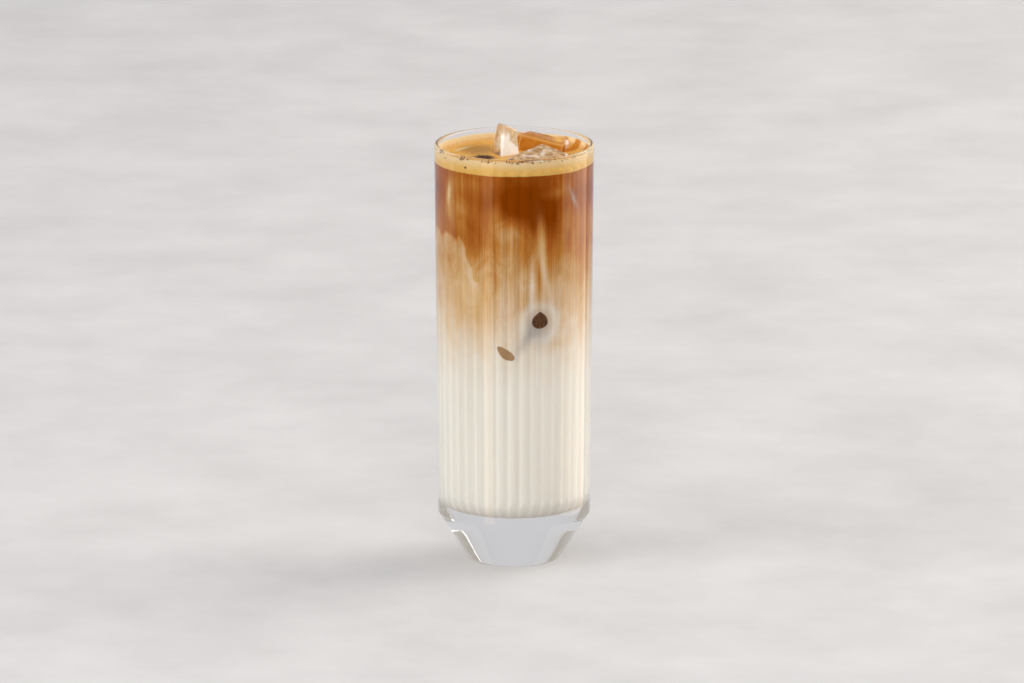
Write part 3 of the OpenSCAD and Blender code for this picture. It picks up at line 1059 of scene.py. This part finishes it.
class LATTE_OT_sunk_ice(bpy.types.Operator):
    """Build the two corners of sunk ice that touch the wall"""

    bl_idname = "latte.sunk_ice"
    bl_label = "Sunk ice"

    def execute(self, context):
        material = sunk_ice_material()

        def corner(turn):
            """A round shape with a small point at its top."""
            return 3.0 - 0.12 * np.sin(3 * turn) + 0.5 * np.exp(-((turn - np.pi / 2) / 0.22) ** 2)

        def crescent(turn):
            """A long low oval that slants down to the right, fuller on one side."""
            slant = turn + math.radians(38)
            long, high = 3.9, 1.7 + 0.4 * np.sin(slant + 2.6)
            return 1 / np.sqrt((np.cos(slant) / long) ** 2 + (np.sin(slant) / high) ** 2)

        tip = wall_lens("sunk_ice_tip", 20.0, 97.6, corner, proud=0.06, deep=0.6)
        edge = wall_lens("sunk_ice_edge", -6.5, 85.5, crescent, proud=0.06, deep=0.6)
        for piece, cloud in ((tip, 0.0), (edge, 0.85)):
            store(piece, "cloud", np.full(len(piece.data.vertices), cloud))
            finish_piece(piece, material, "ice")
        return {"FINISHED"}


def beads(name, centres, radii, flatness):
    """Many small closed balls in one mesh, each flattened upwards: a point of one is its centre plus its
    radius times (sin a cos b, sin a sin b, flatness cos a)."""
    a = np.linspace(0, np.pi, 7)[1:-1]
    b = angles(8)
    ring = np.stack([np.sin(a)[:, None] * np.cos(b), np.sin(a)[:, None] * np.sin(b),
                     flatness * np.cos(a)[:, None] + 0 * b], axis=-1).reshape(-1, 3)
    ball = np.vstack([ring, [[0, 0, flatness], [0, 0, -flatness]]])
    points = (centres[:, None, :] + radii[:, None, None] * ball[None, :, :]).reshape(-1, 3)
    faces = ring_faces(len(a), len(b))
    every = [[corner + i * len(ball) for corner in face] for i in range(len(centres)) for face in faces]
    return merge_seams(link_mesh(name, points, every), 1e-8)


class LATTE_OT_bubbles(bpy.types.Operator):
    """Build the bubbles along the foam's edge at the wall and on the surface"""

    bl_idname = "latte.bubbles"
    bl_label = "Bubbles"

    def execute(self, context):
        rng = np.random.default_rng(7)
        # clusters along the ring's upper edge: angle and spread in degrees, and number
        clusters = ((-42, 6, 12), (-19, 6, 10), (14, 3, 8), (-68, 4, 6), (0, 60, 26), (40, 20, 8))
        turns = [rng.normal(at, spread / 2, count) for at, spread, count in clusters]
        theta = np.radians(np.concatenate(turns))
        z = ring_top(theta) - np.abs(rng.normal(0.25, 0.3, len(theta)))
        radii = rng.uniform(0.14, 0.34, len(theta))
        # two larger ones below the edge
        big = np.array([math.radians(-39.0), math.radians(-62.0)])
        theta = np.append(theta, big)
        z = np.append(z, ring_top(big) - np.array([3.2, 1.4]))
        radii = np.append(radii, [0.55, 0.4])
        wall = inner_radius(theta, z) + settings().drink.reach - 0.45 * radii
        at_wall = beads("ring_bubbles", around(theta, wall, z), radii, 0.85)
        # round the bare spot
        count = 20
        spin, far = rng.uniform(0, 2 * np.pi, count), rng.normal(1.05, 0.2, count)
        top_z = CREMA_Z + settings().crema.film + 0.1
        places = np.stack([HOLE_X + HOLE_R * far * np.cos(spin), HOLE_Y + HOLE_R * far * np.sin(spin),
                           np.full(count, top_z)], axis=-1)
        on_top = beads("surface_bubbles", places, rng.uniform(0.15, 0.35, count), 0.6)
        material = bubble_material()
        for piece in (at_wall, on_top):
            finish_piece(piece, material, "crema")
        return {"FINISHED"}


# --------------------------------------------------------------------- stage


# The lights: name, place and aim in metres, width and height, how bright they look, colour, and which
# rays besides the camera's don't see them. The fills light the drink and the floor, and don't show in the
# glass. The card and the slip stand close to the glass and show only as reflections in its wall.
MIDDLE = (0, 0, 0.08)
LIGHTS = (
    ("window_right", (1.5, 0.7, 1.25), MIDDLE, 1.6, 1.6, 2.85, "#fffaf4", ()),
    ("fill_left", (-1.7, -0.8, 0.7), MIDDLE, 1.4, 1.4, 3.4, "#ffffff", ("glossy", "transmission")),
    ("fill_front", (0.0, -2.2, 0.9), MIDDLE, 1.2, 1.2, 3.3, "#ffffff", ("glossy", "transmission")),
    ("card_right", (0.085, -0.002, 0.08), (0, -0.002, 0.08), 0.076, 0.155, 1.8, "#ffe6cc",
     ("diffuse", "transmission")),
    ("slip_left", (-0.0722, -0.1051, 0.0728), (0, 0, 0.0728), 0.033, 0.1695, 2.4, "#ffd29c",
     ("diffuse", "transmission")),
)


def area_light(name, at, towards, width, height, radiance, colour, unseen):
    """A rectangular light: its power is pi times its area times radiance, which is how bright it looks."""
    light = bpy.data.lights.new(name, "AREA")
    light.shape = "RECTANGLE"
    light.size, light.size_y = width, height
    light.energy = radiance * math.pi * width * height
    light.color = linear(colour)[:3]
    lamp = bpy.data.objects.new(name, light)
    lamp.location = at
    lamp.rotation_euler = (Vector(towards) - Vector(at)).to_track_quat("-Z", "Y").to_euler()
    bpy.context.scene.collection.objects.link(lamp)
    for ray in ("camera", *unseen):
        setattr(lamp, "visible_" + ray, False)


def soft_world():
    """Even soft light from all round. In reflections it is dark below the horizon in front, as if the table
    there lay in shade, so that the wall shows the drink in its full colour."""
    s = settings().stage
    world = bpy.data.worlds.new("soft studio")
    world.use_nodes = True
    tree = world.node_tree
    direction = add_node(tree, "ShaderNodeTexCoord").outputs["Generated"]
    parts = add_node(tree, "ShaderNodeSeparateXYZ", {"Vector": direction}).outputs
    low = add_node(tree, "ShaderNodeMath", {0: parts["Z"], 1: 0.0}, operation="LESS_THAN")
    in_front = add_node(tree, "ShaderNodeMath", {0: parts["Y"], 1: 0.1}, operation="LESS_THAN")
    dark = add_node(tree, "ShaderNodeLightPath").outputs["Is Glossy Ray"]
    for place in (low, in_front):
        both = {0: dark, 1: place.outputs[0]}
        dark = add_node(tree, "ShaderNodeMath", both, operation="MULTIPLY").outputs[0]
    bright = add_node(tree, "ShaderNodeMath", {0: 1.0, 1: dark}, operation="SUBTRACT").outputs[0]
    strength = add_node(tree, "ShaderNodeMath", {0: bright, 1: s.soft_strength},
                        operation="MULTIPLY").outputs[0]
    background = tree.nodes["Background"]
    background.inputs["Color"].default_value = s.soft
    tree.links.new(strength, background.inputs["Strength"])
    return world


class LATTE_OT_stage(bpy.types.Operator):
    """Set up the plain floor, the soft lights and the camera"""

    bl_idname = "latte.stage"
    bl_label = "Stage"

    def execute(self, context):
        s = settings().stage
        scene = context.scene
        half = 6000.0
        corners = half * np.array([(-1, -1, 0), (1, -1, 0), (1, 1, 0), (-1, 1, 0)])
        floor = link_mesh("pale_floor", corners, [[0, 1, 2, 3]], smooth=False)
        floor.data.materials.append(floor_material())
        floor.visible_glossy = False

        scene.world = soft_world()
        for light in LIGHTS:
            area_light(*light)

        camera_data = bpy.data.cameras.new("camera")
        camera = bpy.data.objects.new("camera", camera_data)
        scene.collection.objects.link(camera)
        aim = np.array([-0.0008, 0.0, 0.0834])
        back = np.array([0, -math.cos(s.elevation), math.sin(s.elevation)])
        camera.location = aim + back * s.distance
        camera.rotation_euler = (math.pi / 2 - s.elevation, 0, 0)
        camera_data.sensor_width = 36.0
        camera_data.lens = camera_data.sensor_width * s.distance / s.width
        camera_data.clip_end = 50.0
        scene.camera = camera
        scene.view_settings.view_transform = "Standard"
        scene.view_settings.look = "None"
        return {"FINISHED"}


OPERATORS = (LATTE_OT_glass, LATTE_OT_drink, LATTE_OT_crema, LATTE_OT_ice, LATTE_OT_sunk_ice,
             LATTE_OT_bubbles, LATTE_OT_stage)


class LATTE_PT_sidebar(bpy.types.Panel):
    """Buttons and settings of the latte"""

    bl_label = "Iced latte"
    bl_idname = "LATTE_PT_sidebar"
    bl_space_type = "VIEW_3D"
    bl_region_type = "UI"
    bl_category = "Latte"

    def draw(self, context):
        for operator in OPERATORS:
            self.layout.operator(operator.bl_idname)
        for group in ("glass", "drink", "crema", "ice", "stage"):
            box = self.layout.box()
            box.label(text=group.capitalize())
            owner = getattr(settings(), group)
            for name in owner.__annotations__:
                box.prop(owner, name)


CLASSES = (GlassSettings, DrinkSettings, CremaSettings, IceSettings, StageSettings, LatteSettings,
           *OPERATORS, LATTE_PT_sidebar)


def register():
    for cls in CLASSES:
        bpy.utils.register_class(cls)
    bpy.types.Scene.latte = bpy.props.PointerProperty(type=LatteSettings)


def unregister():
    del bpy.types.Scene.latte
    for cls in reversed(CLASSES):
        bpy.utils.unregister_class(cls)


def main():
    """Builds everything in order."""
    register()
    for operator in OPERATORS:
        group, name = operator.bl_idname.split(".")
        getattr(getattr(bpy.ops, group), name)()


if __name__ == "__main__":
    main()
